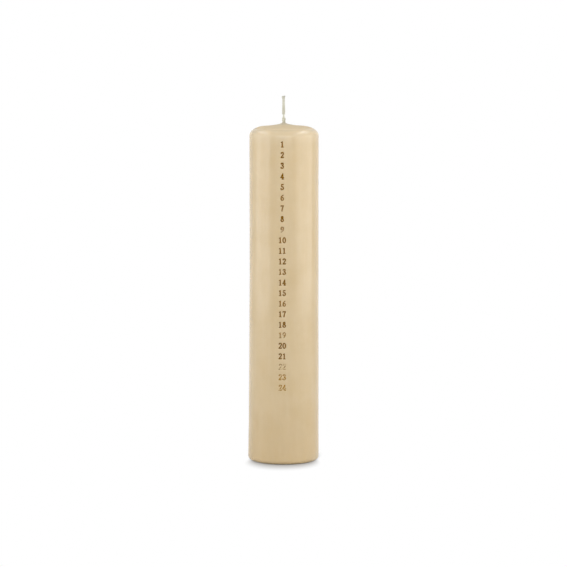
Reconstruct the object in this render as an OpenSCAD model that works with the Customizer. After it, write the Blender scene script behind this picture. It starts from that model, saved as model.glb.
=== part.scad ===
// Calendar candle: a pressed wax pillar in a dyed dipped coat, with a braided wick held by a
// tinplate tab under the base, and one stamped foil numeral for each day down its front.
// The base stands on z = 0, the wick is on the Z axis, and the numerals face -Y.

/* [Wax body] */
// Diameter of the candle over its dipped coat
body_d = 50; // [40:1:80]
// Height of the flat top above the base
body_h = 240; // [205:1:320]
// Width of the rounded shoulder, measured in from the wall
shoulder_w = 11.4; // [6:0.2:14]
// Height of the rounded shoulder
shoulder_h = 7.2; // [4:0.2:12]
// Radius of the edge between the wall and the base
foot_r = 2.6; // [2:0.1:4]
// Thickness of the dyed coat over the pressed core
coat_t = 1.3; // [0.8:0.1:1.8]
// Height of the wax that creeps up around the wick
mound_h = 2.4; // [1:0.1:4]
// Radius at which that wax meets the flat top
mound_r = 8; // [5:0.5:11]

/* [Wick] */
// Width of the flat braided wick
wick_w = 2.6; // [2:0.1:3.4]
// Thickness of the flat braided wick
wick_t = 1.3; // [1:0.1:1.8]
// Length of wick that stands above the wax
wick_free = 18.6; // [10:0.2:30]
// How far the tip leans to the left
wick_lean = 0.45; // [0:0.05:1.5]
// Room between the wick and each hole that it passes through
wick_gap = 0.15; // [0.1:0.05:0.3]

/* [Wick tab] */
// Diameter of the tinplate disc that anchors the wick
tab_d = 20; // [16:0.5:30]
// Thickness of the tinplate
tab_t = 0.3; // [0.2:0.05:0.5]
// Height of the neck that is crimped on the wick
neck_h = 5.5; // [3:0.5:10]
// How far the disc's face lies above the surface that the candle stands on
tab_rise = 1; // [0.8:0.1:3]
// Radius of the stiffening bead pressed into the disc, at its middle
bead_at = 6.6; // [4.5:0.2:6.8]
// Depth of the bead below the disc
bead_h = 0.45; // [0.3:0.05:0.6]
// Room between the tab and the recess in the core
tab_gap = 0.3; // [0.1:0.05:0.6]

/* [Numerals] */
// Number of days
numeral_count = 24; // [2:1:24]
// Height of a figure
numeral_h = 4; // [3:0.1:4.8]
// Distance from one numeral down to the next
numeral_pitch = 7.5; // [6:0.1:8]
// Distance from the top of the straight wall down to the middle of the first numeral
numeral_drop = 4.8; // [4:0.2:8]
// Distance between the middles of two figures in one numeral
figure_step = 2.85; // [2.6:0.05:4]
// Thickness of a figure's stems
stem_w = 0.56; // [0.4:0.02:0.6]
// Thickness of a figure's hairlines
hair_w = 0.22; // [0.16:0.02:0.3]
// Height of the foil above the wax
foil_t = 0.1; // [0.05:0.01:0.15]

/* [Hidden] */
function numeral_name(n) = str("numeral_", n < 10 ? "0" : "", n);
$fn = 96;

body_r = body_d / 2;
// Steps along each rounded edge of the wax
edge_steps = 14;
// How far a cut runs past the face that it opens
past = 1;

// Points along an arc of an ellipse about [cx, cy], from angle a to angle b
function arc(cx, cy, rx, ry, a, b, steps) = [
    for (i = [0:steps])
        let (t = a + (b - a) * i / steps)
        [cx + rx * cos(t), cy + ry * sin(t)]
];

// Points along a curve from a to b that is pulled towards p
function bend(a, p, b, steps) = [
    for (i = [0:steps])
        let (t = i / steps)
        (1 - t) * (1 - t) * a + 2 * t * (1 - t) * p + t * t * b
];

function turned(points) = [for (i = [len(points) - 1:-1:0]) points[i]];

// The wax body

// The straight wall runs from the foot's rounded edge up to the shoulder
wall_top = body_h - shoulder_h;
// Steps from the wick out to the edge of the mound, and how hollow its slope is
mound_steps = 10;
mound_slope = 1.7;

// Height of the top face at radius r, with the wax drawn up around the wick
function top_at(r) = body_h + mound_h * pow(max(1 - r / mound_r, 0), mound_slope);

// Half of the section through the coat's outer face, from the axis at the top down to the base
function coat_face() = concat(
    [for (i = [0:mound_steps]) let (r = mound_r * i / mound_steps) [r, top_at(r)]],
    turned(arc(body_r - shoulder_w, wall_top, shoulder_w, shoulder_h, 0, 90, edge_steps)),
    turned(arc(body_r - foot_r, foot_r, foot_r, foot_r, -90, 0, edge_steps))
);

// The same for the core, which lies one coat inside it and reaches the base as well
core_r = body_r - coat_t;
core_h = body_h - coat_t;
core_shoulder_w = shoulder_w - coat_t / 2;
core_shoulder_h = shoulder_h - coat_t / 2;
function core_face() = concat(
    [[0, core_h]],
    turned(arc(core_r - core_shoulder_w, core_h - core_shoulder_h,
        core_shoulder_w, core_shoulder_h, 0, 90, edge_steps)),
    turned(arc(core_r - foot_r, foot_r, foot_r, foot_r, -90, 0, edge_steps))
);

// The wick's way through the coat is as flat as the wick
module wick_slot() {
    slot_r = wick_t / 2 + wick_gap;
    slot_reach = wick_w / 2 + wick_gap - slot_r;
    slot_from = core_h - past;
    slot_h = mound_h + coat_t + 2 * past;
    for (side = [-1, 1])
        translate([side * slot_reach, 0, slot_from]) cylinder(r = slot_r, h = slot_h);
    translate([-slot_reach, -slot_r, slot_from]) cube([2 * slot_reach, 2 * slot_r, slot_h]);
}

module colour_coat() {
    color([0.86, 0.77, 0.6])
    difference() {
        rotate_extrude() polygon(concat(coat_face(), turned(core_face())));
        wick_slot();
    }
}

// The wick tab

// The wick is round where the neck is crimped on it
crimp_r = (wick_w + wick_t) / 4;
neck_in = crimp_r + wick_gap;
neck_out = neck_in + tab_t;
tab_top = tab_rise + tab_t;
neck_top = tab_top + neck_h;
bead_r = bead_h + tab_t;

module wax_core() {
    bore_r = wick_w / 2 + wick_gap;
    recess_r = tab_d / 2 + tab_gap;
    neck_seat_r = neck_out + tab_gap;
    color([0.95, 0.92, 0.85])
    difference() {
        rotate_extrude() polygon(concat(core_face(), [[0, 0]]));
        translate([0, 0, -past]) cylinder(r = bore_r, h = core_h + 2 * past);
        translate([0, 0, -past]) cylinder(r = recess_r, h = tab_top + past);
        translate([0, 0, -past]) cylinder(r = neck_seat_r, h = neck_top + tab_gap + past);
    }
}

module wick_sustainer() {
    color([0.75, 0.75, 0.74])
    difference() {
        union() {
            translate([0, 0, tab_rise]) cylinder(d = tab_d, h = tab_t);
            translate([0, 0, tab_rise]) cylinder(r = neck_out, h = tab_t + neck_h);
            rotate_extrude() intersection() {
                translate([bead_at, tab_top]) circle(r = bead_r);
                translate([0, tab_rise - bead_h]) square([tab_d / 2, bead_h + tab_t]);
            }
        }
        translate([0, 0, -past]) cylinder(r = neck_in, h = neck_top + 2 * past);
        rotate_extrude() translate([bead_at, tab_top]) circle(r = bead_h);
    }
}

// The wick

mound_top = body_h + mound_h;
wick_sides = 8;
wick_steps = 36;
// The free wick is creased where it was pulled: share of its length, twist, and widening
wick_shape = [
    [0, 0, 1],
    [0.13, 6, 1],
    [0.26, 84, 1],
    [0.43, 50, 1],
    [0.72, 84, 1],
    [0.92, 66, 1.02],
    [1, 58, 1.12]
];
function wick_twist(f) = lookup(f, [for (s = wick_shape) [s[0], s[1]]]);
function wick_spread(f) = lookup(f, [for (s = wick_shape) [s[0], s[2]]]);

// One ring of the wick at height z: half width, half thickness, twist and place of its middle
function wick_ring(z, w, t, twist, x) = [
    for (i = [0:wick_sides - 1])
        let (a = 360 * i / wick_sides, p = [w * cos(a), t * sin(a)])
        [x + p[0] * cos(twist) - p[1] * sin(twist), p[0] * sin(twist) + p[1] * cos(twist), z]
];

// Leaning that starts softly at the wax and has one slight wave
function wick_x(f) = -wick_lean * (f * f * (3 - 2 * f) + 0.35 * sin(360 * f) / 2);

wick_rings = concat(
    [wick_ring(tab_rise, crimp_r, crimp_r, 0, 0)],
    [wick_ring(neck_top, crimp_r, crimp_r, 0, 0)],
    [wick_ring(neck_top + 2 * wick_w, wick_w / 2, wick_t / 2, 0, 0)],
    [for (i = [0:wick_steps])
        let (f = i / wick_steps, k = wick_spread(f))
        wick_ring(mound_top + f * wick_free, k * wick_w / 2, k * wick_t / 2, wick_twist(f), wick_x(f))]
);

// A closed skin over rings of equal size, from the lowest to the highest
module skin(rings) {
    sides = len(rings[0]);
    last = len(rings) - 1;
    points = [for (ring = rings) each ring];
    walls = [
        for (j = [0:last - 1], i = [0:sides - 1])
            let (a = j * sides + i, b = j * sides + (i + 1) % sides)
            each [[a, a + sides, b], [b, a + sides, b + sides]]
    ];
    bottom = [for (i = [1:sides - 2]) [0, i, i + 1]];
    top = [for (i = [1:sides - 2]) [last * sides, last * sides + i + 1, last * sides + i]];
    polyhedron(points, concat(walls, bottom, top));
}

module wick() {
    color([0.93, 0.91, 0.85]) skin(wick_rings);
}

// The numerals, drawn in shares of the figure's height, with x = 0 in the middle of the figure

stem = stem_w / numeral_h;
hair = hair_w / numeral_h;
// How far a figure's prisms reach to each side of the wall
reach = 2;
// A slightly tilted broad pen gives the stems and the hairlines
pen_tilt = 15;
curve_steps = 16;
ball_r = 0.082;

function pen(t) = hair / 2 + (stem - hair) / 2 * pow(abs(sin(t - pen_tilt)), 1.5);
function heading(p, i) =
    let (a = p[max(i - 1, 0)], b = p[min(i + 1, len(p) - 1)])
    atan2(b[1] - a[1], b[0] - a[0]);
function beside(p, i, side) =
    let (t = heading(p, i))
    p[i] + side * pen(t) * [-sin(t), cos(t)];

// Each piece of a figure is a prism that is later cut down to the foil
module ink(points) {
    linear_extrude(2 * reach / numeral_h) polygon(points);
}

module stroke(p) {
    ink(concat(
        [for (i = [0:len(p) - 1]) beside(p, i, 1)],
        [for (i = [len(p) - 1:-1:0]) beside(p, i, -1)]
    ));
}

module bar(x, y, w, h) {
    ink([[x, y], [x + w, y], [x + w, y + h], [x, y + h]]);
}

module ball(x, y) {
    translate([x, y, 0]) cylinder(r = ball_r, h = 2 * reach / numeral_h);
}

// A ring that is a stem wide at its sides and a hairline at its top and bottom
module bowl(x, y, rx, ry, lean) {
    last = 360 - 180 / curve_steps;
    translate([x, y, 0]) linear_extrude(2 * reach / numeral_h) difference() {
        polygon(arc(0, 0, rx, ry, 0, last, 2 * curve_steps - 1));
        rotate(lean) polygon(arc(0, 0, rx - stem, ry - 1.1 * hair, 0, last, 2 * curve_steps - 1));
    }
}

// A bracketed slab under a stem
module slab(x, half) {
    ink([
        [x - half, 0], [x + half, 0], [x + half, hair * 0.8], [x + stem / 2, hair * 1.8],
        [x - stem / 2, hair * 1.8], [x - half, hair * 0.8]
    ]);
}

module zero() {
    bowl(0, 0.5, 0.28, 0.5, 0);
}

module one() {
    bar(-stem / 2, 0, stem, 0.9);
    ink([[stem / 2, 0.85], [stem / 2, 1], [-0.21, 0.87], [-0.21, 0.81], [-stem / 2, 0.85]]);
    slab(0, 0.2);
}

module two() {
    ball(-0.165, 0.8);
    stroke(concat(
        arc(0, 0.75, 0.2, 0.225, 150, -15, curve_steps),
        bend([0.17, 0.6], [0.06, 0.38], [-0.21, 0.08], curve_steps)
    ));
    ink([
        [-0.27, 0], [0.22, 0], [0.28, 0.22], [0.24, 0.22], [0.18, 0.12], [-0.2, 0.12], [-0.25, 0.09]
    ]);
}

module three() {
    ball(-0.16, 0.82);
    stroke(arc(-0.02, 0.77, 0.18, 0.205, 148, -80, curve_steps));
    ball(-0.195, 0.18);
    stroke(concat([[-0.07, 0.54]], arc(-0.03, 0.285, 0.225, 0.26, 75, -148, curve_steps)));
}

module four() {
    bar(0.03, 0, stem, 1);
    ink([[0.03 + stem, 1], [0.06, 1], [-0.3, 0.31], [-0.3, 0.25], [-0.22, 0.25], [0.08, 0.85]]);
    bar(-0.3, 0.24, 0.6, 0.08);
    slab(0.03 + stem / 2, 0.17);
}

module five() {
    ink([[-0.15, 0.87], [0.17, 0.87], [0.23, 1], [-0.15, 1]]);
    ink([[-0.15, 0.9], [-0.09, 0.9], [-0.13, 0.53], [-0.18, 0.49]]);
    ball(-0.195, 0.19);
    stroke(arc(-0.03, 0.31, 0.225, 0.285, 124, -148, curve_steps));
}

module six() {
    bowl(0, 0.31, 0.27, 0.31, 0);
    stroke(bend([-0.2, 0.33], [-0.19, 0.78], [0.2, 0.96], curve_steps));
}

module seven() {
    ink([[-0.26, 0.78], [-0.22, 0.78], [-0.19, 0.88], [0.27, 0.88], [0.27, 1], [-0.26, 1]]);
    ink(concat(
        bend([0.17, 0.93], [-0.06, 0.5], [-0.13, 0], curve_steps),
        bend([0.03, 0], [0.05, 0.5], [0.27, 0.93], curve_steps)
    ));
}

module eight() {
    bowl(0, 0.76, 0.205, 0.24, 18);
    bowl(0, 0.28, 0.27, 0.28, 14);
}

module nine() {
    translate([0, 1, 0]) rotate([0, 0, 180]) six();
}

module figure(d) {
    if (d == 0) zero();
    if (d == 1) one();
    if (d == 2) two();
    if (d == 3) three();
    if (d == 4) four();
    if (d == 5) five();
    if (d == 6) six();
    if (d == 7) seven();
    if (d == 8) eight();
    if (d == 9) nine();
}

function figures_of(n) = n < 10 ? [n] : [floor(n / 10), n % 10];

// The foil lies on the wall, and its two figures are set side by side around it
module numeral(n) {
    figures = figures_of(n);
    middle_z = wall_top - numeral_drop - (n - 1) * numeral_pitch;
    color([0.45, 0.33, 0.16])
    intersection() {
        difference() {
            translate([0, 0, middle_z - numeral_h]) cylinder(r = body_r + foil_t, h = 2 * numeral_h);
            translate([0, 0, middle_z - numeral_h - past])
                cylinder(r = body_r, h = 2 * (numeral_h + past));
        }
        for (i = [0:len(figures) - 1])
            rotate([0, 0, (i - (len(figures) - 1) / 2) * figure_step / body_r * 180 / PI])
                translate([0, reach - body_r, middle_z - numeral_h / 2])
                    rotate([90, 0, 0])
                        scale(numeral_h) figure(figures[i]);
    }
}

colour_coat();
wax_core();
wick();
wick_sustainer();
for (n = [1:numeral_count])
    numeral(n);
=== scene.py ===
# %% [markdown]
# A calendar candle is a pillar of pale pressed wax, dipped in dyed wax and stamped with one foil
# numeral for each day. A braided cotton wick runs through it and is held by a tin tab in the base.
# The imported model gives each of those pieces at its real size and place. This script keeps those
# places and models what the eye and the hand find on the real candle: the slightly uneven dipped
# skin, the stamped dents, the plait of the wick and the pressed grain under the base.

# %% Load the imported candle
import math
import random

import bmesh
import bpy
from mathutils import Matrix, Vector, noise
from mathutils.bvhtree import BVHTree


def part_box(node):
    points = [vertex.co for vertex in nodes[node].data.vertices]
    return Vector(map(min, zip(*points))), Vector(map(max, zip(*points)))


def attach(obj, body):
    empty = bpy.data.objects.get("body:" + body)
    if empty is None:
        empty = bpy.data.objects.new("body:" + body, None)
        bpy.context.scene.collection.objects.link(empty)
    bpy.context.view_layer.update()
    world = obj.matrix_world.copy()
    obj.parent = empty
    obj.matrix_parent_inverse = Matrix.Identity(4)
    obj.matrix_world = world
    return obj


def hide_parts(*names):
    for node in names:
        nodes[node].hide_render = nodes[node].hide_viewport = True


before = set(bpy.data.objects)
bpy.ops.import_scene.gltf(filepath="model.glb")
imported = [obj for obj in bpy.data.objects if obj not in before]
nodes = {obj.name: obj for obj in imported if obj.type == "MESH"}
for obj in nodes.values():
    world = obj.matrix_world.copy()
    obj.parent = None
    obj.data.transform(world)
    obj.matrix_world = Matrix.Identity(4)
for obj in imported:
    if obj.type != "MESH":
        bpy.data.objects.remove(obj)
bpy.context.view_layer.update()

# %% [markdown]
# The candle was photographed from nearly two metres away, a little from above and with a long lens,
# so its sides look almost parallel. A camera is easiest to place by the three things that a
# photographer decides: how far off it stands, how high, and what it is aimed at.

# %% Set up the camera
MM = 0.001
CAMERA_DISTANCE = 1.85
CAMERA_HEIGHT = 0.342
CAMERA_AZIMUTH = math.radians(2.7)
# The candle stands a little right of the picture's middle
AIM = (-0.25 * MM, 0, 127 * MM)
LENS = 165.4


def aim(thing, target):
    """Turns a camera or a lamp so that it looks at the target."""
    thing.rotation_euler = (Vector(target) - thing.location).to_track_quat("-Z", "Y").to_euler()


def add_to_scene(name, data):
    made = bpy.data.objects.new(name, data)
    bpy.context.scene.collection.objects.link(made)
    return made


camera = add_to_scene("camera", bpy.data.cameras.new("camera"))
camera.data.lens = LENS
camera.data.clip_end = 20
camera.location = (
    CAMERA_DISTANCE * math.sin(CAMERA_AZIMUTH),
    -CAMERA_DISTANCE * math.cos(CAMERA_AZIMUTH),
    CAMERA_HEIGHT,
)
aim(camera, AIM)
bpy.context.scene.camera = camera
bpy.context.scene.view_settings.view_transform = "Standard"
print("camera at", [round(c, 3) for c in camera.location])

# %% [markdown]
# Materials are trees of nodes, and writing them out node by node hides what they say. A helper that
# takes each input by its name, and links it when it is given another node's socket, lets a finish
# read almost like a sentence.

# %% Helpers for nodes
def feed(tree, socket, value):
    """Gives an input a plain value, or links another node's output to it."""
    if isinstance(value, bpy.types.NodeSocket):
        tree.links.new(value, socket)
    else:
        socket.default_value = value


def set_inputs(tree, made, **inputs):
    """Feeds inputs of a node by name, with an underscore for each space in the name."""
    for key, value in inputs.items():
        feed(tree, made.inputs[key.replace("_", " ")], value)


def node(tree, kind, settings=None, **inputs):
    """Adds a node. Settings are its own properties, inputs are values or other nodes' sockets."""
    made = tree.nodes.new(kind)
    for key, value in (settings or {}).items():
        setattr(made, key, value)
    set_inputs(tree, made, **inputs)
    return made


def arithmetic(tree, operation, first, second, clamp=False):
    made = node(tree, "ShaderNodeMath", {"operation": operation, "use_clamp": clamp})
    for socket, value in zip(made.inputs, (first, second)):
        feed(tree, socket, value)
    return made.outputs[0]


def remap(tree, value, low, high, to_low=0.0, to_high=1.0):
    """Runs smoothly from to_low to to_high as the value goes from low to high."""
    made = node(tree, "ShaderNodeMapRange", {"interpolation_type": "SMOOTHSTEP"}, Value=value,
                From_Min=low, From_Max=high, To_Min=to_low, To_Max=to_high)
    return made.outputs["Result"]


def mix_shaders(tree, factor, first, second):
    """The first shader where the factor is 0 and the second where it is 1."""
    made = node(tree, "ShaderNodeMixShader", Fac=factor)
    tree.links.new(first.outputs[0], made.inputs[1])
    tree.links.new(second.outputs[0], made.inputs[2])
    return made


print("node helpers ready")

# %% [markdown]
# The candle stands on a seamless white sweep. White that comes from strong lamps would wash the wax
# out, so the sweep glows by itself only for the camera and for reflections, and the lamps stay at a
# plain level. Round the foot the floor keeps its real shading, which is where the thin shadow comes
# from, and a little further out it has faded to even white. It shows nothing from below, so that the
# base can be looked at too.

# %% Paint of the floor
# The even white starts inside the foot's edge. It is full soonest beside the candle, in the light of
# the two large softboxes, and latest in front of it and behind it
SHADOW_R = 21 * MM
SHADOW_BESIDE = 5 * MM
SHADOW_BEFORE = 30 * MM
PAPER = (0.5, 0.5, 0.5, 1)


def seen_directly(tree):
    """1 for the camera, mirror reflections and light through glass, 0 for diffuse light."""
    path = node(tree, "ShaderNodeLightPath")
    seen = arithmetic(tree, "ADD", path.outputs["Is Camera Ray"], path.outputs["Is Glossy Ray"])
    return arithmetic(tree, "ADD", seen, path.outputs["Is Transmission Ray"], clamp=True)


def even_white(tree, place):
    """How much of its real shading the floor gives up there: none under the foot, all further out."""
    distance = node(tree, "ShaderNodeVectorMath", {"operation": "LENGTH"})
    tree.links.new(place, distance.inputs[0])
    distance = distance.outputs["Value"]
    along = node(tree, "ShaderNodeSeparateXYZ", Vector=place).outputs["Y"]
    before = arithmetic(tree, "POWER", arithmetic(tree, "DIVIDE", along, distance), 2)
    reach = node(tree, "ShaderNodeMapRange", Value=before, To_Min=SHADOW_BESIDE, To_Max=SHADOW_BEFORE)
    out = arithmetic(tree, "SUBTRACT", distance, SHADOW_R)
    return remap(tree, arithmetic(tree, "DIVIDE", out, reach.outputs["Result"]), 0, 1)


def floor_material():
    made = bpy.data.materials.new("white_floor")
    made.use_nodes = True
    tree = made.node_tree
    tree.nodes.remove(tree.nodes["Principled BSDF"])
    place = node(tree, "ShaderNodeTexCoord").outputs["Object"]
    factor = arithmetic(tree, "MULTIPLY", seen_directly(tree), even_white(tree, place))
    paper = node(tree, "ShaderNodeBsdfDiffuse", Color=PAPER)
    glow = node(tree, "ShaderNodeEmission", Strength=1.0)
    lit = mix_shaders(tree, factor, paper, glow)
    back = node(tree, "ShaderNodeNewGeometry").outputs["Backfacing"]
    one_sided = mix_shaders(tree, back, lit, node(tree, "ShaderNodeBsdfTransparent"))
    tree.links.new(one_sided.outputs[0], tree.nodes["Material Output"].inputs["Surface"])
    return made


floor_paint = floor_material()
print("floor nodes:", len(floor_paint.node_tree.nodes))

# %% [markdown]
# The floor itself is one flat ring. A plain sheet would keep all light from the candle's underside,
# so it is open where the candle stands, a little inside the line where the foot touches it.

# %% Lay the white floor
FLOOR_R = 4.0
FLOOR_OPEN_R = 22.3 * MM
FLOOR_SIDES = 96


def object_from(bm, name, smooth=True):
    """Turns a bmesh into an object of the scene."""
    mesh = bpy.data.meshes.new(name)
    bm.to_mesh(mesh)
    bm.free()
    if smooth:
        mesh.shade_smooth()
    return add_to_scene(name, mesh)


def build_floor():
    bm = bmesh.new()
    inner, outer = (bmesh.ops.create_circle(bm, segments=FLOOR_SIDES, radius=r)["verts"]
                    for r in (FLOOR_OPEN_R, FLOOR_R))
    for i in range(FLOOR_SIDES):
        bm.faces.new((inner[i - 1], outer[i - 1], outer[i], inner[i]))
    bm.normal_update()
    if next(iter(bm.faces)).normal.z < 0:
        bmesh.ops.reverse_faces(bm, faces=bm.faces)
    return object_from(bm, "floor", smooth=False)


floor = build_floor()
floor.data.materials.append(floor_paint)
print("floor radius in m:", FLOOR_R)

# %% [markdown]
# A product shot of a matt round body uses a large softbox on each side and a weaker one in front: the
# middle of the candle then stays calm and both flanks brighten. A narrow strip high up on each side,
# a little behind the candle, draws the two soft streaks on the shoulder. One more softbox lies under
# the floor and reaches nothing but the base.

# %% Set up the softboxes
BOX_AIM = Vector((0, 0, 150 * MM))
# Azimuth, elevation, distance, width, height and power. Azimuth 0 is in front and 90 on the right.
# The front box has more power, but it stands further off and reaches the candle weaker than the sides
SOFTBOXES = {
    "left_box": (-74, 10, 0.8, 0.9, 0.7, 3.5),
    "right_box": (76, 9, 0.8, 1.0, 0.7, 3.85),
    "front_box": (4, 20, 1.2, 1.3, 0.8, 6.0),
    "left_strip": (-101, 52, 0.8, 0.55, 0.19, 1.15),
    "right_strip": (96, 58, 0.8, 0.75, 0.18, 1.8),
    "under_box": (0, -90, 0.5, 0.5, 0.5, 1.2),
}


def softbox(name, azimuth, elevation, distance, width, height, power):
    """A lamp that looks at the candle. Angles are in degrees and lengths in metres."""
    a, e = math.radians(azimuth), math.radians(elevation)
    lamp = bpy.data.lights.new(name, "AREA")
    lamp.shape = "RECTANGLE"
    lamp.size = width
    lamp.size_y = height
    lamp.energy = power
    box = add_to_scene(name, lamp)
    box.location = BOX_AIM + distance * Vector(
        (math.sin(a) * math.cos(e), -math.cos(a) * math.cos(e), math.sin(e)))
    aim(box, BOX_AIM)


for name, values in SOFTBOXES.items():
    softbox(name, *values)

# %% [markdown]
# The rest of the light is the fill of a white room, so that no side falls into the dark. It is weaker
# from above, or the crown and the shoulder would lose their shading. The camera and the reflections
# see the room as plain white, like the floor.

# %% Fill from the room
FILL = 0.46
FILL_ABOVE = 0.08
# Sines of the elevations between which the fill weakens
FADE_FROM = 0.1
FADE_TO = 0.9


def white_world():
    world = bpy.data.worlds.new("studio")
    bpy.context.scene.world = world
    world.use_nodes = True
    tree = world.node_tree
    fill = tree.nodes["Background"]
    fill.inputs["Color"].default_value = (1, 1, 1, 1)
    direction = node(tree, "ShaderNodeTexCoord").outputs["Generated"]
    up = node(tree, "ShaderNodeSeparateXYZ", Vector=direction).outputs["Z"]
    tree.links.new(remap(tree, up, FADE_FROM, FADE_TO, FILL, FILL_ABOVE), fill.inputs["Strength"])
    white = node(tree, "ShaderNodeBackground", Color=(1, 1, 1, 1), Strength=1.0)
    shown = mix_shaders(tree, seen_directly(tree), fill, white)
    tree.links.new(shown.outputs[0], tree.nodes["World Output"].inputs["Surface"])


white_world()
print("fill from the sides and from above:", FILL, FILL_ABOVE)

# %% [markdown]
# Dipped wax has no sharp line anywhere. Its section is a flat top, a broad shoulder, a straight wall
# and a small soft foot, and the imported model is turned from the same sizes. Its radius is measured on
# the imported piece. The others can't be read from its box, so they are the values it was drawn with.

# %% Sizes of the candle
BODY_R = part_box("colour_coat")[1].x
BODY_H = 240 * MM
SHOULDER_W = 11.4 * MM
SHOULDER_H = 7.2 * MM
FOOT_R = 2.6 * MM
WALL_TOP = BODY_H - SHOULDER_H
print("body in mm:", round(2 * BODY_R / MM, 2), "across and", round(BODY_H / MM, 1), "high")

# %% [markdown]
# What a lathe can't give is the hand-made part: the wall is a hair wider at the foot, where the wax
# ran down, and the whole skin has low waves. Every point of the skin is worked out here from one
# rule, so that the coat and the foil that is stamped into it can never drift apart.

# %% Shape of the wax skin
# Wave length and height of the skin's waves, from broad sags to the fine ripple of the last dip
WAVES = ((48 * MM, 0.11 * MM), (15 * MM, 0.035 * MM), (4.5 * MM, 0.007 * MM))
# The wall leans in by a hair on its way up and widens at the foot. The uneven parts are added on the
# candle's left, where it hung a little lower in the dip
DRAFT = 0.22 * MM
DRAFT_UNEVEN = 0.3 * MM
DRAFT_FROM = 45 * MM
DRAFT_TO = 135 * MM
FOOT_OUT = 0.1 * MM
FOOT_UNEVEN = 0.75 * MM
FOOT_REACH = 60 * MM
FOOT_FALL = 1.5


def smooth_step(x):
    x = min(max(x, 0), 1)
    return x * x * (3 - 2 * x)


def wave(p):
    """Height of the skin's waves at a point of the plain body."""
    return sum(height * noise.noise(p / size) for size, height in WAVES)


def flare(angle, z):
    """How much wider or narrower the wall is there than the plain body."""
    left = 0.5 - 0.5 * math.cos(angle)
    foot = max(1 - z / FOOT_REACH, 0) ** FOOT_FALL
    lean_in = smooth_step((z - DRAFT_FROM) / (DRAFT_TO - DRAFT_FROM))
    return (FOOT_OUT + FOOT_UNEVEN * left) * foot - (DRAFT + DRAFT_UNEVEN * left) * lean_in


def level(angle):
    """The level direction at an angle round the candle."""
    return Vector((math.cos(angle), math.sin(angle), 0))


def skin_point(angle, r, z, out, up, depth=0.0):
    """Moves a point of the plain section, with its outward direction, to the real skin."""
    ray = level(angle)
    plain = ray * r + Vector((0, 0, z))
    outward = ray * out + Vector((0, 0, up))
    return plain + outward * (wave(plain) - depth) + ray * flare(angle, z) * r / BODY_R


def wall_point(angle, z, depth=0.0):
    return skin_point(angle, BODY_R, z, 1, 0, depth)


print("wall radius in mm at the foot, middle and neck:",
      [round(wall_point(0, z).x * 1000, 3) for z in (FOOT_R, BODY_H / 2, WALL_TOP)])

# %% [markdown]
# The coat is a thin shell around the core, open only where the wick passes. It is built as rings of
# points, from the edge of the wick hole over the outside to the base, and back up inside. A row of
# its section is a radius, a height and the direction that is square to the wax there.

# %% Rows of a section
COLUMNS = 160
ANGLES = [math.tau * i / COLUMNS for i in range(COLUMNS)]


def spread(start, end, steps):
    """Steps evenly from start to end, without the start itself."""
    return [start + (end - start) * i / steps for i in range(1, steps + 1)]


def arc_rows(centre_r, centre_z, wide, high, start, end, steps):
    """Section rows (r, z, out, up) along an elliptic arc, with the direction square to it."""
    rows = []
    for degrees in spread(start, end, steps):
        c, s = math.cos(math.radians(degrees)), math.sin(math.radians(degrees))
        square = Vector((c / wide, s / high)).normalized()
        rows.append((centre_r + wide * c, centre_z + high * s, square.x, square.y))
    return rows


print("points in a ring:", len(ANGLES))

# %% [markdown]
# The top of the candle is a low crown. It starts a little under the turned edge and ends in a small
# collar, as wax does where it wets the cotton. Its rings crowd towards the wick, where the shape
# turns fastest, and shrink from round to the flat outline of the wick hole.

# %% Rings of the crown
# Half sizes of the slot for the wick
HOLE_W = 1.2 * MM
HOLE_T = 0.55 * MM
# The crown starts this far under the turned edge
RIM_DROP = 0.5 * MM
CROWN_R = BODY_R - SHOULDER_W
CROWN_H = 2.2 * MM
CROWN_HOLLOW = 1.35
CROWN_STEPS = 24
CROWN_CROWDING = 1.6
COLLAR_R = 2.3 * MM
COLLAR_H = 0.5 * MM


def crown_height(r):
    """Height of the top's wax above the turned edge of the shoulder."""
    cone = CROWN_H * max(1 - r / CROWN_R, 0) ** CROWN_HOLLOW
    collar = COLLAR_H * math.exp(-((r / COLLAR_R) ** 4))
    return cone + collar - RIM_DROP


def crown_ring(share):
    """A ring between the edge of the wick hole, at share 0, and the foot of the crown, at share 1."""
    ring = []
    for angle in ANGLES:
        c, s = math.cos(angle), math.sin(angle)
        x = c * (HOLE_W + (CROWN_R - HOLE_W) * share)
        y = s * (HOLE_T + (CROWN_R - HOLE_T) * share)
        plain = Vector((x, y, BODY_H))
        sideways = Vector((c, s, 0)) * flare(angle, BODY_H) * share * CROWN_R / BODY_R
        ring.append(plain + sideways + Vector((0, 0, crown_height(math.hypot(x, y)) + wave(plain))))
    return ring


crown = [crown_ring(share ** CROWN_CROWDING) for share in [0] + spread(0, 1, CROWN_STEPS)]
print("rings of the crown:", len(crown), "rising in mm to", round(max(p.z for p in crown[0]) / MM, 2))

# %% [markdown]
# From the crown the section turns over the shoulder, runs down the wall and turns in at the foot. The
# rows of the wall are close enough to carry the finest waves of the skin.

# %% Rings of the wall
SHOULDER_STEPS = 20
ROW_STEP = 1.25 * MM
FOOT_STEPS = 9
# Rings so low that the skin's waves could push them through the floor
LOWEST_RINGS = 3


def wall_rings():
    rows = arc_rows(CROWN_R, WALL_TOP, SHOULDER_W, SHOULDER_H - RIM_DROP, 90, 0, SHOULDER_STEPS)
    wall_rows = round((WALL_TOP - FOOT_R) / ROW_STEP)
    rows += [(BODY_R, z, 1, 0) for z in spread(WALL_TOP, FOOT_R, wall_rows)]
    rows += arc_rows(BODY_R - FOOT_R, FOOT_R, FOOT_R, FOOT_R, 0, -90, FOOT_STEPS)
    rings = [[skin_point(angle, *row) for angle in ANGLES] for row in rows]
    for ring in rings[-LOWEST_RINGS:]:
        for point in ring:
            point.z = max(point.z, 0)
    return rings


wall = wall_rings()
print("rings from the shoulder to the foot:", len(wall))

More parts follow.
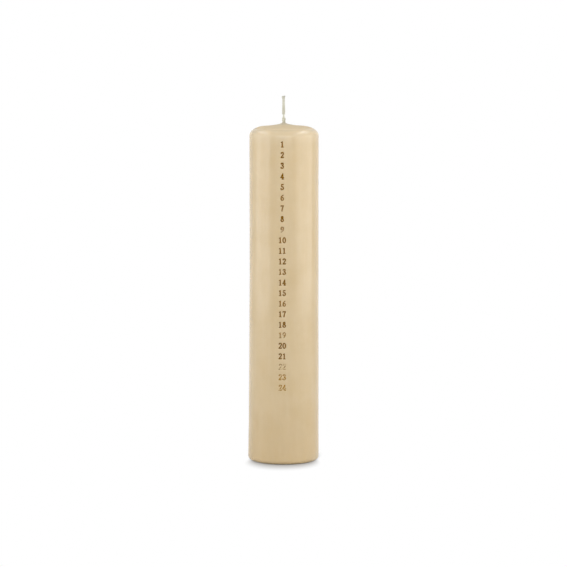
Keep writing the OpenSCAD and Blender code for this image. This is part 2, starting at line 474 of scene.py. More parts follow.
# %% [markdown]
# The hidden face of the coat follows the core and clears it by a few hundredths of a millimetre, so
# that the two never share a face. An open skin would look the same from outside, but a closed shell
# shows its real end under the base. That is a ragged lip, where the dyed wax crept over the core.

# %% Inside of the coat
COAT_T = 1.3 * MM
CORE_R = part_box("wax_core")[1].x
CORE_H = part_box("wax_core")[1].z
CORE_SHOULDER_W = SHOULDER_W - COAT_T / 2
CORE_SHOULDER_H = SHOULDER_H - COAT_T / 2
CORE_GAP = 0.03 * MM
CORE_WALL_STEPS = 24
CORE_SHOULDER_STEPS = 12
CORE_FOOT_STEPS = 6
LIP_R = CORE_R - FOOT_R
LIP_UNEVEN = 0.5 * MM
LIP_LOBES = 6


def lip_ring():
    return [ray * (LIP_R + LIP_UNEVEN * noise.noise(ray * LIP_LOBES)) for ray in map(level, ANGLES)]


def inner_rings():
    """From the lip under the base up to the wick hole."""
    shoulder_z = CORE_H - CORE_SHOULDER_H
    rows = arc_rows(LIP_R, FOOT_R, FOOT_R, FOOT_R, -90, 0, CORE_FOOT_STEPS)
    rows += [(CORE_R, z, 1, 0) for z in spread(FOOT_R, shoulder_z, CORE_WALL_STEPS)]
    rows += arc_rows(CORE_R - CORE_SHOULDER_W, shoulder_z, CORE_SHOULDER_W, CORE_SHOULDER_H, 0, 90,
                     CORE_SHOULDER_STEPS)
    rings = [lip_ring()]
    for row_r, row_z, out, up in rows:
        r, z = row_r + out * CORE_GAP, row_z + up * CORE_GAP
        rings.append([Vector((r * math.cos(a), r * math.sin(a), z)) for a in ANGLES])
    top = CORE_H + CORE_GAP
    rings.append([Vector((HOLE_W * math.cos(a), HOLE_T * math.sin(a), top)) for a in ANGLES])
    return rings


coat_rings = crown + wall + inner_rings()
print("coat rings:", len(coat_rings))

# %% [markdown]
# Hot stamping presses each figure a little into the wax. How deep a place lies follows from one
# question, how far the nearest figure is: full depth under it, easing out over the edge of the dent.

# %% Depth of the dents
NUMBERS = range(1, 1 + sum(name.startswith("numeral_") for name in nodes))
NUMERAL_BOXES = [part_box(f"numeral_{number:02d}") for number in NUMBERS]
FOIL_T = -NUMERAL_BOXES[0][0].y - BODY_R
DENT = 0.09 * MM
# The floor of the dent reaches this far past the figure, so that the foil can spread on it
DENT_MARGIN = 0.23 * MM
DENT_EDGE = 0.3 * MM


def figures_tree():
    """All figures in one search tree, which finds the nearest point of any figure."""
    points, triangles = [], []
    for number in NUMBERS:
        mesh = nodes[f"numeral_{number:02d}"].data
        mesh.calc_loop_triangles()
        start = len(points)
        points += [v.co.copy() for v in mesh.vertices]
        triangles += [[start + i for i in t.vertices] for t in mesh.loop_triangles]
    return BVHTree.FromPolygons(points, triangles)


figures = figures_tree()


def dent(angle, z):
    """Depth of the stamped dent at a place on the wall."""
    r = BODY_R + FOIL_T / 2
    place = Vector((r * math.cos(angle), r * math.sin(angle), z))
    away = figures.find_nearest(place)[3] - FOIL_T / 2 - DENT_MARGIN
    return DENT * (1 - smooth_step(away / DENT_EDGE))


print("numerals:", len(NUMBERS), "and their foil in mm:", round(FOIL_T / MM, 3))

# %% [markdown]
# The wall's grid is far too coarse for a stroke half a millimetre wide, and a grid fine enough
# everywhere would be wasteful, so only the quads under the numerals are divided, and each fine point
# sinks to the floor of its dent.

# %% Build the coat
FINE_CUTS = 7
FINE_MARGIN = 0.6 * MM


def ring_faces(ring_count, sides):
    """Quads between each ring and the next, and the last and the first, facing out of the wax."""
    faces = []
    for j in range(ring_count):
        k = (j + 1) % ring_count
        for i in range(sides):
            n = (i + 1) % sides
            faces.append((j * sides + i, k * sides + i, k * sides + n, j * sides + n))
    return faces


def under_numeral(centre):
    """True for a face of the wall that lies under a numeral or right beside it."""
    if centre.y > 0 or math.hypot(centre.x, centre.y) < (BODY_R + CORE_R) / 2:
        return False
    for low, high in NUMERAL_BOXES:
        if (low.x - FINE_MARGIN < centre.x < high.x + FINE_MARGIN
                and low.z - FINE_MARGIN < centre.z < high.z + FINE_MARGIN):
            return True
    return False


def build_coat():
    bm = bmesh.new()
    made = [bm.verts.new(p) for ring in coat_rings for p in ring]
    for face in ring_faces(len(coat_rings), COLUMNS):
        bm.faces.new([made[i] for i in face])
    under = [f for f in bm.faces if under_numeral(f.calc_center_median())]
    edges = list({e for f in under for e in f.edges})
    divided = bmesh.ops.subdivide_edges(bm, edges=edges, cuts=FINE_CUTS, use_grid_fill=True)
    fine = {v for e in divided["geom_inner"] if isinstance(e, bmesh.types.BMEdge) for v in e.verts}
    for v in fine:
        angle = math.atan2(v.co.y, v.co.x)
        v.co = wall_point(angle, v.co.z, dent(angle, v.co.z))
    print("fine points under the numerals:", len(fine))
    return object_from(bm, "dyed_coat")


coat = build_coat()
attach(coat, "root")
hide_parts("colour_coat")
print("coat faces:", len(coat.data.polygons))

# %% [markdown]
# Every finish starts from one shader that can be wax, cotton or metal. Colours are easiest to judge
# as on a paint card, and are turned into the linear light values that a shader works in.

# %% Colours and shaders
def paint(red, green, blue):
    """A colour given as on a paint card, 0 to 255, in the linear values that a shader takes."""
    def linear(c):
        c /= 255
        return c / 12.92 if c <= 0.04045 else ((c + 0.055) / 1.055) ** 2.4
    return (linear(red), linear(green), linear(blue), 1)


def finish_of(name, **sockets):
    """A material with one Principled shader. Values given here are the same all over the surface."""
    made = bpy.data.materials.new(name)
    made.use_nodes = True
    tree = made.node_tree
    shader = tree.nodes["Principled BSDF"]
    set_inputs(tree, shader, **sockets)
    return made, tree, shader


print("middle grey of the paint card as light:", round(paint(128, 128, 128)[0], 3))

# %% [markdown]
# Clouds, streaks and grains all come from noise in the candle's own space: it has no seams, and the
# size of its blots can be given in millimetres. The noise then mixes colours, or bends the light as
# if the surface had fine heights, which is much cheaper than modelling them.

# %% Helpers for finishes
def grain(tree, size, detail=2.0, stretch=(1, 1, 1), shift=0.0):
    """Noise whose blots are about the given size in metres, drawn out along an axis by stretch."""
    place = node(tree, "ShaderNodeTexCoord").outputs["Object"]
    scaled = node(tree, "ShaderNodeMapping", Vector=place,
                  Location=(shift, shift, shift), Scale=[1 / s for s in stretch])
    made = node(tree, "ShaderNodeTexNoise", Vector=scaled.outputs["Vector"], Scale=1 / size, Detail=detail)
    return made.outputs["Fac"]


def mix_colour(tree, factor, first, second):
    """The first colour where the factor is 0 and the second where it is 1."""
    made = node(tree, "ShaderNodeMix", {"data_type": "RGBA"})
    # The node keeps inputs for numbers and vectors too, so the ones for colours are 6 and 7
    for index, value in ((0, factor), (6, first), (7, second)):
        feed(tree, made.inputs[index], value)
    return made.outputs[2]


def tint(tree, tone, colour, mask, strength):
    """Mixes some of a colour into a tone where the mask is bright."""
    return mix_colour(tree, arithmetic(tree, "MULTIPLY", mask, strength), tone, colour)


def height_in(tree):
    """Height above the floor, in metres."""
    place = node(tree, "ShaderNodeTexCoord").outputs["Object"]
    return node(tree, "ShaderNodeSeparateXYZ", Vector=place).outputs["Z"]


def relief(tree, height, strength, distance):
    """Bends the light as if the surface had the given heights."""
    bump = node(tree, "ShaderNodeBump", Height=height, Strength=strength, Distance=distance)
    return bump.outputs["Normal"]


print("finish helpers ready")

# %% [markdown]
# The dyed wax is satin: light goes a little way in, so edges look soft, and the skin throws back a
# soft image of the softboxes. Its colour is never quite even. There are faint clouds where the dip
# cooled unevenly, streaks where it ran down, and a fine dusting of paler bloom. Light and shade are
# also painted in by height: a deeper tone towards the foot is painted shade, a paler tone over the top
# of the wall, the shoulder and the crown is painted light, and the wax is greyer right round the wick.
# A painted picture could carry all this, but it would have a seam, while noise and a few heights keep
# every value easy to change.

# %% Finish of the dyed wax
WAX = paint(214, 191, 151)
WAX_DEEP = paint(210, 186, 144)
# Pale streaks and bloom, and also the painted light on the top of the candle
WAX_PALE = paint(221, 202, 168)
WAX_GREY = paint(196, 186, 164)
# Painted shade: the wall is darkened with this tone towards the foot
PAINTED_FOOT_SHADE = paint(204, 176, 129)
# A lower and an upper height, how much of a tone is mixed in at each, and the tone
TONES_BY_HEIGHT = (
    # Painted shade, darker towards the foot
    (0, 55 * MM, 0.4, 0, PAINTED_FOOT_SHADE),
    # Painted light, paler over the top of the wall, the shoulder and the crown
    (BODY_H - 14 * MM, BODY_H - 4 * MM, 0, 0.6, WAX_PALE),
    # Greyer and darker right round the wick
    (BODY_H - 0.2 * MM, BODY_H + 1.4 * MM, 0, 0.9, WAX_GREY),
)
# The crown dries last, and much duller than the shoulder
DULL_FROM = BODY_H - 2.8 * MM
DULL_TO = BODY_H - 1.0 * MM
DULLNESS = 0.42


def dyed_wax():
    made, tree, shader = finish_of(
        "dyed_wax", IOR=1.5, Subsurface_Weight=0.25, Subsurface_Scale=1.2 * MM,
        Subsurface_Radius=(1.0, 0.75, 0.45))
    shader.subsurface_method = "BURLEY"
    clouds = remap(tree, grain(tree, 22 * MM, 3), 0.35, 0.65)
    streaks = remap(tree, grain(tree, 5 * MM, 3, stretch=(1, 1, 9), shift=0.3), 0.4, 0.75)
    bloom = remap(tree, grain(tree, 0.9 * MM, 3, shift=0.7), 0.55, 0.8)
    tone = mix_colour(tree, clouds, WAX_DEEP, WAX)
    tone = tint(tree, tone, WAX_PALE, streaks, 0.22)
    tone = tint(tree, tone, WAX_PALE, bloom, 0.3)
    height = height_in(tree)
    for low, high, at_low, at_high, colour in TONES_BY_HEIGHT:
        tone = mix_colour(tree, remap(tree, height, low, high, at_low, at_high), tone, colour)
    dull = remap(tree, height, DULL_FROM, DULL_TO, 0, DULLNESS)
    gloss = remap(tree, clouds, 0, 1, 0.21, 0.17)
    fine = arithmetic(tree, "MULTIPLY", grain(tree, 0.35 * MM, 2), 0.2)
    peel = arithmetic(tree, "ADD", grain(tree, 2.2 * MM, 2), fine)
    set_inputs(tree, shader, Base_Color=tone, Roughness=arithmetic(tree, "ADD", gloss, dull),
               Normal=relief(tree, peel, 0.35, 0.05 * MM))
    return made


coat.data.materials.append(dyed_wax())
print("wax tones:", len({WAX, WAX_DEEP, WAX_PALE, WAX_GREY, PAINTED_FOOT_SHADE}))

# %% [markdown]
# Each figure is a scrap of stamping foil no thicker than a hair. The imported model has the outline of
# the stamp, so its mesh is copied. Hot foil spreads a little past the edge of its stamp, and so the
# points on the rim of the copy move outwards, each square to the rim.

# %% Spread the foil
# A single figure takes the whole force of the press, and its foil spreads further than a pair's
FOIL_SPREAD = 0.18 * MM
FOIL_SPREAD_ALONE = 0.22 * MM


def spread_outline(bm, spread_by):
    """Moves the rim of a figure outwards. Its faces stand square to the wall, unlike front and back."""
    bm.normal_update()
    moves = []
    for v in bm.verts:
        ray = Vector((v.co.x, v.co.y, 0)).normalized()
        sides = [f.normal for f in v.link_faces if abs(f.normal.dot(ray)) < 0.5]
        if sides:
            moves.append((v, sum(sides, Vector()).normalized() * spread_by))
    for v, move in moves:
        v.co += move


print("foil spread in mm:", [round(s / MM, 2) for s in (FOIL_SPREAD, FOIL_SPREAD_ALONE)])

# %% [markdown]
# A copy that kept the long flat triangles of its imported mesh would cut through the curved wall. It is
# divided until its edges are about a third of a millimetre long, and is then laid on the floor of its
# dent by the same rule that shaped the skin. The face stands a little proud of that floor and the
# back lies in the wax, so no gap opens under it.

# %% Lay the foil
FOIL_EDGE = 0.35 * MM
FOIL_PROUD = 0.02 * MM
FOIL_SUNK = 0.05 * MM
MOST_ROUNDS = 4


def lay_foil(number):
    name = f"numeral_{number:02d}"
    bm = bmesh.new()
    bm.from_mesh(nodes[name].data)
    bmesh.ops.remove_doubles(bm, verts=bm.verts, dist=0.001 * MM)
    lift = bm.verts.layers.float.new("lift")
    for v in bm.verts:
        v[lift] = math.hypot(v.co.x, v.co.y) > BODY_R + FOIL_T / 2
    spread_outline(bm, FOIL_SPREAD_ALONE if number < 10 else FOIL_SPREAD)
    for _ in range(MOST_ROUNDS):
        long = [e for e in bm.edges if e.calc_length() > FOIL_EDGE]
        if not long:
            break
        bmesh.ops.subdivide_edges(bm, edges=long, cuts=1)
        bmesh.ops.triangulate(bm, faces=bm.faces)
    for v in bm.verts:
        height = -FOIL_SUNK + (FOIL_PROUD + FOIL_SUNK) * v[lift]
        v.co = wall_point(math.atan2(v.co.y, v.co.x), v.co.z, DENT - height)
    foil = object_from(bm, f"foil_{number:02d}", smooth=False)
    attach(foil, "root")
    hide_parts(name)
    return foil


foils = [lay_foil(number) for number in NUMBERS]
print("foil numerals:", len(foils), "with", sum(len(f.data.polygons) for f in foils), "triangles")

# %% [markdown]
# The foil is a dark antique gold. A stamp that is a little cool or not quite square leaves a thin
# impression, so some numerals are nearly brown and solid while others are pale and broken. A few
# grades of the same finish cover that. Where a noise rises above a level there is bare wax instead of
# foil, and more wear lowers that level.

# %% Finish of the foil
FOIL_DARK = paint(81, 51, 0)
FOIL_BRIGHT = paint(130, 89, 0)
# Foil that took thinly but whole lets the wax shine through it, so its gold is paler
FOIL_PALE = paint(172, 128, 8)
# Grades: their wear, how pale their gold is, and the numerals that came out so. All others are full
GRADES = (("worn", 0.4, 0.05, (6, 7, 9, 13, 16)),
          ("thin", 0.5, 0.45, (23, 24)),
          ("faint", 0.7, 0.15, (19,)),
          ("lost", 0.87, 0.1, (22,)))


def stamping_foil(name, wear, pale):
    """Wear runs from 0, whole, to 1, nearly gone. Pale runs from 0, deep gold, to 1, thin."""
    made, tree, shader = finish_of(name)
    speckle = grain(tree, 0.28 * MM, 4, shift=1.7)
    patches = grain(tree, 1.6 * MM, 2, shift=2.3)
    flaking = arithmetic(tree, "ADD", speckle, arithmetic(tree, "MULTIPLY", patches, 0.6))
    missing = remap(tree, flaking, 1.0 - 0.35 * wear, 1.1 - 0.3 * wear)
    shine = remap(tree, grain(tree, 0.5 * MM, 3), 0.35, 0.7)
    dark, bright = (
        [a + (b - a) * pale for a, b in zip(tone, FOIL_PALE)] for tone in (FOIL_DARK, FOIL_BRIGHT))
    metal = mix_colour(tree, shine, dark, bright)
    set_inputs(tree, shader, Base_Color=mix_colour(tree, missing, metal, WAX_DEEP),
               Metallic=arithmetic(tree, "SUBTRACT", 1.0, missing),
               Roughness=remap(tree, shine, 0, 1, 0.5, 0.34),
               Normal=relief(tree, grain(tree, 0.2 * MM, 3), 0.4, 0.02 * MM))
    return made


grade_of = dict.fromkeys(NUMBERS, stamping_foil("foil_full", 0, 0))
for grade, wear, pale, numbers in GRADES:
    grade_of.update(dict.fromkeys(numbers, stamping_foil(f"foil_{grade}", wear, pale)))
for number, foil in zip(NUMBERS, foils):
    foil.data.materials.append(grade_of[number])
print("foil grades:", {grade: numbers for grade, wear, pale, numbers in GRADES})

# %% [markdown]
# Under the dyed coat the pillar is pressed from wax granules. Its side is hidden, but the base is
# bare, with a recess for the tab and a bore for the wick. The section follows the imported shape. Only
# the bare ring of the base gets close rows, because it is the only face with fine relief.

# %% Section of the core
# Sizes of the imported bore, of the recess for the tab's disc and of the seat for its neck
BORE_R = 1.45 * MM
RECESS_R = 10.3 * MM
RECESS_TOP = 1.3 * MM
NECK_SEAT_R = 1.725 * MM
NECK_SEAT_TOP = 7.1 * MM
BASE_STEPS = 30
RECESS_WALL_STEPS = 4
RECESS_ROOF_STEPS = 12


def core_rows():
    """Rows from the top of the bore over the outside to the base, and up through the recess."""
    shoulder_z = CORE_H - CORE_SHOULDER_H
    rows = [(BORE_R, CORE_H, 0, 1), (CORE_R - CORE_SHOULDER_W, CORE_H, 0, 1)]
    rows += arc_rows(CORE_R - CORE_SHOULDER_W, shoulder_z, CORE_SHOULDER_W, CORE_SHOULDER_H, 90, 0,
                     CORE_SHOULDER_STEPS)
    rows += [(CORE_R, z, 1, 0) for z in spread(shoulder_z, FOOT_R, CORE_WALL_STEPS)]
    rows += arc_rows(LIP_R, FOOT_R, FOOT_R, FOOT_R, 0, -90, CORE_FOOT_STEPS)
    rows += [(r, 0, 0, -1) for r in spread(LIP_R, RECESS_R, BASE_STEPS)]
    rows += [(RECESS_R, z, -1, 0) for z in spread(0, RECESS_TOP, RECESS_WALL_STEPS)]
    rows += [(r, RECESS_TOP, 0, -1) for r in spread(RECESS_R, NECK_SEAT_R, RECESS_ROOF_STEPS)]
    rows += [(NECK_SEAT_R, NECK_SEAT_TOP, -1, 0), (BORE_R, NECK_SEAT_TOP, -1, 0)]
    return rows


section = core_rows()
print("rows of the core:", len(section))

# %% [markdown]
# The granules show in the base as rounded lumps with small gaps between them. A plain disc with a
# bump texture would look printed on, so the points of the base really sink into the gaps of a cell
# pattern. Each granule also lies at its own slight depth.

# %% Press the core
CORE_COLUMNS = 300
GRANULE = 1.9 * MM
GRANULE_GAP = 0.32 * MM
# Softness of a gap's edge, as a share of a granule
GAP_EDGE = 0.13
GRANULE_DEPTH = 0.1 * MM
# Reads the noise far enough apart that neighbours differ
DEPTH_SPACING = 3.1
# The bare base lies this much above the coat's lip, which the candle stands on
BASE_LIFT = 0.04 * MM


def granule_relief(p):
    """How far a point of the base lies inside the plain face: deep in the gaps, shallow on a granule."""
    away, centres = noise.voronoi(p / GRANULE)
    gap = math.exp(-(away[1] - away[0]) / GAP_EDGE)
    depth = 0.5 + 0.5 * noise.noise(centres[0] * DEPTH_SPACING)
    return GRANULE_GAP * gap + GRANULE_DEPTH * depth


def build_core():
    bm = bmesh.new()
    for r, z, out, up in section:
        bare = up < 0 and z == 0
        for i in range(CORE_COLUMNS):
            angle = math.tau * i / CORE_COLUMNS
            p = Vector((r * math.cos(angle), r * math.sin(angle), z))
            if bare:
                p.z += BASE_LIFT + granule_relief(p)
            bm.verts.new(p)
    bm.verts.ensure_lookup_table()
    for face in ring_faces(len(section), CORE_COLUMNS):
        bm.faces.new([bm.verts[i] for i in face])
    return object_from(bm, "pressed_core")


core = build_core()
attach(core, "root")
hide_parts("wax_core")
print("core faces:", len(core.data.polygons))

# %% [markdown]
# Undyed wax is nearly white and lets light in deeper than the dyed coat does. A cell noise of the
# granules' size makes the colour a little darker towards the edge of each cell, and clouds lighten
# it here and there. Clouds alone would look like dirt.

# %% Finish of the pressed core
CORE_WAX = paint(232, 226, 208)
CORE_SHADE = paint(216, 206, 182)


def pressed_wax():
    made, tree, shader = finish_of(
        "pressed_wax", IOR=1.44, Subsurface_Weight=0.35, Subsurface_Scale=1.5 * MM,
        Subsurface_Radius=(1.0, 0.85, 0.65))
    shader.subsurface_method = "BURLEY"
    place = node(tree, "ShaderNodeTexCoord").outputs["Object"]
    cells = node(tree, "ShaderNodeTexVoronoi", Vector=place, Scale=1 / GRANULE)
    shade = remap(tree, cells.outputs["Distance"], 0.2, 0.8)
    clouds = remap(tree, grain(tree, 3 * MM, 3), 0.35, 0.7)
    tone = mix_colour(tree, shade, CORE_WAX, CORE_SHADE)
    set_inputs(tree, shader, Base_Color=tint(tree, tone, CORE_WAX, clouds, 0.4),
               Roughness=remap(tree, clouds, 0, 1, 0.62, 0.48),
               Normal=relief(tree, grain(tree, 0.5 * MM, 3), 0.5, 0.05 * MM))
    return made


core.data.materials.append(pressed_wax())
print("core nodes:", len(core.data.materials[0].node_tree.nodes))

# %% [markdown]
# The wick is a flat braid that leaves the wax in the middle of the crown. Its free end is creased and
# turned: it shows its broad side at the bottom, its edge at a narrow waist, and something between the
# two further up, and it leans a little to the left. All of this is one rule that carries a place
# across the flat wick to a point in space, so the braid can be worked out as if it were flat.

# %% Path of the wick
WICK_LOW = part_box("wick")[0].z
WICK_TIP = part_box("wick")[1].z
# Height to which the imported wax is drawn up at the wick
WAX_AT_WICK = 2.4 * MM
WICK_START = BODY_H + WAX_AT_WICK
WICK_FREE = WICK_TIP - WICK_START
WICK_LEAN = 0.3 * MM
# The lean runs ahead in the lower half and falls behind in the upper, by this share of it
LEAN_SWAY = 0.175
# Share of the free length, turn of the broad side in degrees, and widening
WICK_SHAPE = ((0, 0, 1), (0.1, 0, 1.12), (0.24, 80, 0.85), (0.37, 24, 1.03), (0.53, 30, 1), (0.7, 56, 1),
              (0.87, 50, 1), (0.96, 18, 1), (1, 10, 1))


def wick_shape(share, column):
    """The turn, column 1, or the widening, column 2, at a share of the free length."""
    for low, high in zip(WICK_SHAPE, WICK_SHAPE[1:]):
        if share <= high[0]:
            t = smooth_step((share - low[0]) / (high[0] - low[0]))
            return low[column] + (high[column] - low[column]) * t
    return WICK_SHAPE[-1][column]


def wick_place(side, through, z):
    """From a place across the flat wick, given at height z, to a point in space."""
    share = min(max((z - WICK_START) / WICK_FREE, 0), 1)
    turn = math.radians(wick_shape(share, 1))
    widen = wick_shape(share, 2)
    lean = -WICK_LEAN * (smooth_step(share) + LEAN_SWAY * math.sin(math.tau * share))
    x = widen * (side * math.cos(turn) - through * math.sin(turn))
    y = widen * (side * math.sin(turn) + through * math.cos(turn))
    return Vector((lean + x, y, z))


print("free wick in mm:", round(WICK_FREE / MM, 1), "leaning", round(wick_place(0, 0, WICK_TIP).x / MM, 2))

# %% [markdown]
# The braid is a flat plait of three strands, and each strand is a handful of cotton yarns. A plait is
# easy to write down: every strand sways from side to side, and goes over and under twice as often,
# each a third of the way behind the last. The yarns then wind around the middle of their strand.

# %% Plait of the wick
PLAIT_PITCH = 5.4 * MM
STRANDS = 3
YARNS = 5
YARN_R = 0.19 * MM
YARN_PITCH = 5.2 * MM
# Turns by which each strand's yarns are ahead of the last strand's
YARN_SHIFT = 0.13
# Share by which a yarn strays in and out, and the length over which it does
YARN_STRAY = 0.18
STRAY_LENGTH = 1.6 * MM
# Sway and crossing of the strands, and half sizes of the bundle of yarns: flat, and round in the neck
FLAT_PLAIT = (0.73 * MM, 0.27 * MM, 0.36 * MM, 0.2 * MM)
ROUND_PLAIT = (0.4 * MM, 0.34 * MM, 0.27 * MM, 0.27 * MM)
CRIMP_TOP = 6.8 * MM
FLAT_FROM = 12 * MM


def plait_sizes(z):
    """The plait is squeezed round in the neck of the tab and flat everywhere else."""
    t = smooth_step((z - CRIMP_TOP) / (FLAT_FROM - CRIMP_TOP))
    return [a + (b - a) * t for a, b in zip(ROUND_PLAIT, FLAT_PLAIT)]


def strand_point(strand, z, yarn=None):
    """Middle of a strand, or of one of its yarns, at height z."""
    sway, cross, bundle_w, bundle_t = plait_sizes(z)
    phase = math.tau * (z / PLAIT_PITCH + strand / STRANDS)
    side, through = sway * math.sin(phase), cross * math.sin(2 * phase)
    if yarn is not None:
        wind = math.tau * (z / YARN_PITCH + yarn / YARNS + YARN_SHIFT * strand)
        loose = 1 + YARN_STRAY * noise.noise(Vector((z / STRAY_LENGTH, 7 * strand, 5 * yarn)))
        side += bundle_w * math.cos(wind) * loose
        through += bundle_t * math.sin(wind) * loose
    return wick_place(side, through, z)


print("flat plait about", round(2 * (FLAT_PLAIT[0] + FLAT_PLAIT[2] + YARN_R) / MM, 1), "mm wide")

# %% [markdown]
# Yarns are tubes swept along those paths. A curve with a round bevel would give such a tube too, but
# here each tube also gets a map with the way around it and the length along it in millimetres, so
# that the twist of the fibres can be drawn on it later.

# %% Tubes for the yarn
def heights(low, high, step):
    """Even heights from low to high, about a step apart."""
    count = max(round((high - low) / step), 2)
    return [low + (high - low) * i / count for i in range(count + 1)]


def add_tube(bm, uv, path, radii, sides):
    """Sweeps a round section along a mostly upright path and caps both ends."""
    rings = []
    for i, (middle, radius) in enumerate(zip(path, radii)):
        along = (path[min(i + 1, len(path) - 1)] - path[max(i - 1, 0)]).normalized()
        across = Vector((0, 1, 0)).cross(along).normalized()
        beside = along.cross(across)
        rings.append([bm.verts.new(middle + radius * (
            across * math.cos(math.tau * k / sides) + beside * math.sin(math.tau * k / sides)))
            for k in range(sides)])
    run = 0
    for lower, upper, start, end in zip(rings, rings[1:], path, path[1:]):
        length = (end - start).length
        for k in range(sides):
            n = (k + 1) % sides
            face = bm.faces.new((lower[k], lower[n], upper[n], upper[k]))
            corners = ((k, run), (k + 1, run), (k + 1, run + length), (k, run + length))
            for loop, (around, far) in zip(face.loops, corners):
                loop[uv].uv = (around / sides, far / MM)
        run += length
    bm.faces.new(rings[0][::-1])
    bm.faces.new(rings[-1])


wick_mesh = bmesh.new()
yarn_map = wick_mesh.loops.layers.uv.new("yarn")
print("yarn map:", yarn_map.name)

# %% [markdown]
# Only what can be seen gets separate yarns: the free end, and the short length that shows in the neck
# from below. The yarns of the cut tip spread and end at slightly different heights. Inside the wax
# one thicker tube stands for each whole strand.

# %% Braid the wick
YARN_SIDES = 8
YARN_STEP = 0.2 * MM
YARN_UNEVEN = 0.12
# Where the yarns take over from the whole strands, a little below the top of the wax
YARNS_FROM = BODY_H - 3 * MM
STRANDS_TO = BODY_H - 2.5 * MM
STRANDS_FROM = CRIMP_TOP - 0.5 * MM
STRAND_STEP = 0.7 * MM
STRAND_R = 0.42 * MM
# The share of the free length where the fray starts, and how far it spreads the tip
FRAY_FROM = 0.9
FRAY = 0.16
TIP_UNEVEN = 0.5 * MM
LOW_UNEVEN = 0.3 * MM
SEED = 24


def fray(point, share):
    """Spreads a yarn near the cut tip away from the middle of the wick."""
    if share <= FRAY_FROM:
        return point
    middle = wick_place(0, 0, point.z)
    return middle + (point - middle) * (1 + FRAY * (share - FRAY_FROM) / (1 - FRAY_FROM))


def braid_ends(bm, uv, draw):
    for strand in range(STRANDS):
        for yarn in range(YARNS):
            tip = WICK_TIP - TIP_UNEVEN * draw.random()
            free = heights(YARNS_FROM, tip, YARN_STEP)
            path = [fray(strand_point(strand, z, yarn), (z - WICK_START) / WICK_FREE) for z in free]
            radii = [YARN_R * (1 + YARN_UNEVEN * noise.noise(Vector((z / MM, strand, yarn + 9.5))))
                     for z in free]
            add_tube(bm, uv, path, radii, YARN_SIDES)
            low = heights(WICK_LOW + LOW_UNEVEN * draw.random(), CRIMP_TOP, 2 * YARN_STEP)
            path = [strand_point(strand, z, yarn) for z in low]
            add_tube(bm, uv, path, [YARN_R] * len(low), YARN_SIDES)


draws = random.Random(SEED)
braid_ends(wick_mesh, yarn_map, draws)
print("faces of the yarns:", len(wick_mesh.faces))

# %% [markdown]
# Cotton always has a few stray hairs, most of all at the cut tip, and without them the wick would
# look cast. They are four-sided tubes about as thin as real fibres, which curve up and out and taper.

# %% Stray fibres
FIBRES = 46
FIBRE_R = 0.011 * MM
FIBRE_SIDES = 4
# How far below the tip the roots lie: up to this many mm, or this share of the free length
ROOTS_AT_TIP = 0.6
ROOTS_BELOW = 0.9
ROOT_DEPTH = 0.5 * MM
# The least reach outwards and upwards and how much longer it can be, in mm
FIBRE_REACH = (0.35, 0.6)
FIBRE_RISE = (0.3, 0.9)
FIBRE_END = WICK_TIP - 0.05 * MM
# Shares of a fibre's length at which it bends, and how much thinner it is at its end
FIBRE_BENDS = (0, 0.3, 0.55, 0.8, 1)
FIBRE_THINNING = 0.6
FIBRE_CURL = 1.5


def draw_length(draw, least, more):
    return (least + more * draw.random()) * MM


def add_fibres(bm, uv, draw):
    """Stray hairs of cotton, every second one at the cut tip."""
    for i in range(FIBRES):
        below = ROOTS_AT_TIP * draw.random() * MM if i % 2 == 0 else draw.random() * WICK_FREE * ROOTS_BELOW
        root = strand_point(draw.randrange(STRANDS), WICK_TIP - below - ROOT_DEPTH, draw.randrange(YARNS))
        out = level(draw.random() * math.tau)
        reach = draw_length(draw, *FIBRE_REACH)
        rise = min(draw_length(draw, *FIBRE_RISE), FIBRE_END - root.z)
        path = [root + out * reach * t ** FIBRE_CURL + Vector((0, 0, rise * t)) for t in FIBRE_BENDS]
        add_tube(bm, uv, path, [FIBRE_R * (1 - FIBRE_THINNING * t) for t in FIBRE_BENDS], FIBRE_SIDES)


add_fibres(wick_mesh, yarn_map, draws)
print("stray fibres:", FIBRES)

# %% [markdown]
# Last come the hidden strands, from the neck of the tab up through the whole core. They make the
# wick one unbroken length, and the whole braid becomes a single object.

# %% Finish the braid
hidden = heights(STRANDS_FROM, STRANDS_TO, STRAND_STEP)
for strand in range(STRANDS):
    path = [strand_point(strand, z) for z in hidden]
    add_tube(wick_mesh, yarn_map, path, [STRAND_R] * len(hidden), YARN_SIDES)
wick = object_from(wick_mesh, "plaited_wick")
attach(wick, "root")
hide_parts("wick")
print("wick faces:", len(wick.data.polygons))

# %% [markdown]
# Unburnt cotton is a greyish cream, matt and fibrous. Each yarn is itself twisted from fibres, so
# fine slanting furrows run around it. They are drawn along the yarn by the map that was laid on the
# tubes, as fine bumps and as painted shade that darkens the colour in the furrows. Where the wick
# leaves the candle the yarns are soaked with wax and take on its colour.

# %% Finish of the cotton
COTTON = paint(226, 225, 210)
# Painted shade for the furrows between the fibres
COTTON_SHADE = paint(192, 190, 173)
# How close the furrows lie around the yarn and along it, and their slant
FURROWS = (22, 1.2, 1)
SLANT = math.radians(24)
SOAKED_FROM = BODY_H + 1.5 * MM
SOAKED_TOP = BODY_H + 3.6 * MM
SOAKED = 0.5


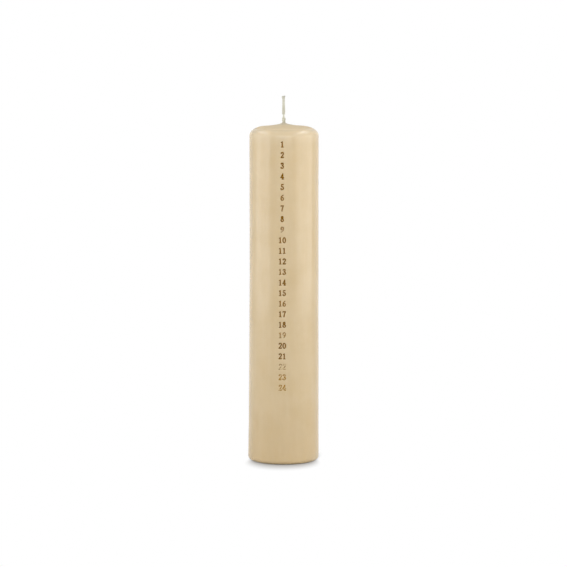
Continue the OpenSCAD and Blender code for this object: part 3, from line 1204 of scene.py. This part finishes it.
def cotton():
    made, tree, shader = finish_of("wick_cotton", Sheen_Weight=0.15, Sheen_Roughness=0.6)
    lay = node(tree, "ShaderNodeAttribute", {"attribute_name": "yarn"}).outputs["Vector"]
    slanted = node(tree, "ShaderNodeMapping", Vector=lay, Rotation=(0, 0, SLANT), Scale=FURROWS)
    fibres = node(tree, "ShaderNodeTexNoise", Vector=slanted.outputs["Vector"], Scale=1.0, Detail=3.0)
    furrows_and_shade = remap(tree, fibres.outputs["Fac"], 0.35, 0.65)
    blots = remap(tree, grain(tree, 0.8 * MM, 3), 0.3, 0.7)
    # Painted shade: the colour darkens in the furrows
    tone = mix_colour(tree, furrows_and_shade, COTTON_SHADE, COTTON)
    tone = tint(tree, tone, COTTON, blots, 0.35)
    soaked = remap(tree, height_in(tree), SOAKED_FROM, SOAKED_TOP, SOAKED, 0)
    set_inputs(tree, shader, Base_Color=mix_colour(tree, soaked, tone, WAX_GREY),
               Roughness=remap(tree, soaked, 0, SOAKED, 0.85, 0.45),
               Normal=relief(tree, furrows_and_shade, 0.6, 0.03 * MM))
    return made


wick.data.materials.append(cotton())
print("soaked part above the wax in mm:", round((SOAKED_TOP - WICK_START) / MM, 1))

# %% [markdown]
# The wick tab is stamped from tinplate. Its shape is right as packed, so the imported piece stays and
# only gets the metal: bright but not polished, with the fine lines of the rolling mill in one
# direction, and a few smears of wax left from setting it.

# %% Finish of the tin tab
TIN = paint(196, 195, 190)
TIN_SHADE = paint(164, 163, 158)


def tinplate():
    made, tree, shader = finish_of("tinplate")
    rolled = grain(tree, 0.3 * MM, 3, stretch=(16, 1, 1))
    smears = remap(tree, grain(tree, 5 * MM, 4, shift=4.1), 0.58, 0.7)
    metal = mix_colour(tree, rolled, TIN_SHADE, TIN)
    set_inputs(tree, shader, Base_Color=mix_colour(tree, smears, metal, CORE_WAX),
               Metallic=arithmetic(tree, "SUBTRACT", 1.0, smears),
               Roughness=remap(tree, rolled, 0.3, 0.7, 0.24, 0.4),
               Normal=relief(tree, rolled, 0.25, 0.01 * MM))
    return made


tab = nodes["wick_sustainer"]
tab.data.materials.clear()
tab.data.materials.append(tinplate())
print("tab keeps its packed faces:", len(tab.data.polygons))
